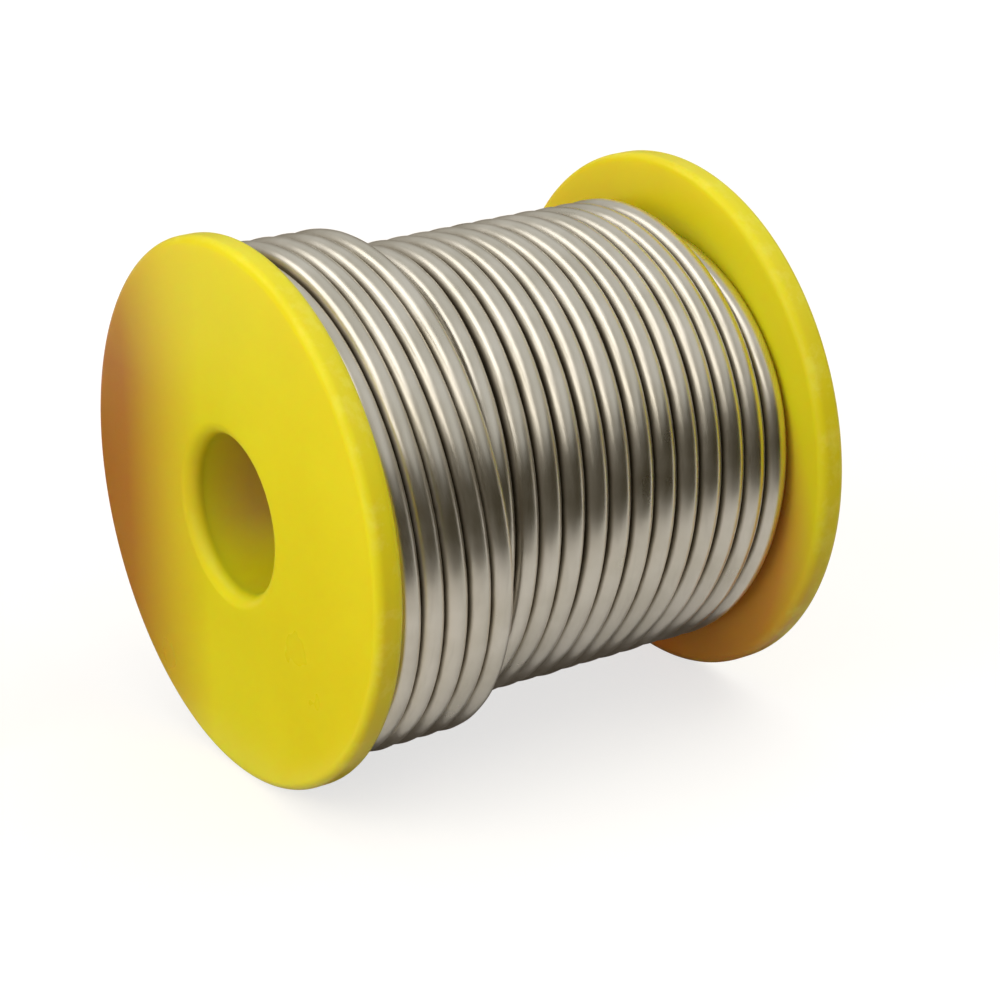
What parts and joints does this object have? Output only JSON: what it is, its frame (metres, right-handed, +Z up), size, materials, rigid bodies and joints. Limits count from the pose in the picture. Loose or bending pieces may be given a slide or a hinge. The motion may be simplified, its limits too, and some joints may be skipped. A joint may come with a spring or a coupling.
{
  "type": "solder wire spool",
  "caption": "Plastic reel of two round flanges on a core tube, wound with layers of thick bright solder wire, with a bore for a spindle.",
  "frame": {"origin": "middle of the central bore, halfway between the flanges' outer faces", "axes": "+Y along the spool axis, from the flange beside the unfinished top layer to the other flange; +Z up"},
  "size_m": [0.065, 0.0646, 0.065],
  "materials": {
    "reel_plastic": "glossy yellow moulded plastic",
    "solder": "bright drawn tin-lead alloy"
  },
  "bodies": {
    "reel": {"near_flange": "reel_plastic", "far_flange": "reel_plastic", "core_tube": "reel_plastic", "wire_first_layer": "solder", "wire_inner_layers": "solder", "wire_outer_layer": "solder", "wire_top_turns": "solder"},
    "free_end": {"wire_free_end": "solder"}
  },
  "joints": [
    {"name": "free_end_lift", "type": "hinge", "parent": "reel", "child": "free_end", "pos_m": [-0.0241, -0.01177, -0.01687], "axis": [0, -1, 0], "range_deg": [0, 60]}
  ]
}
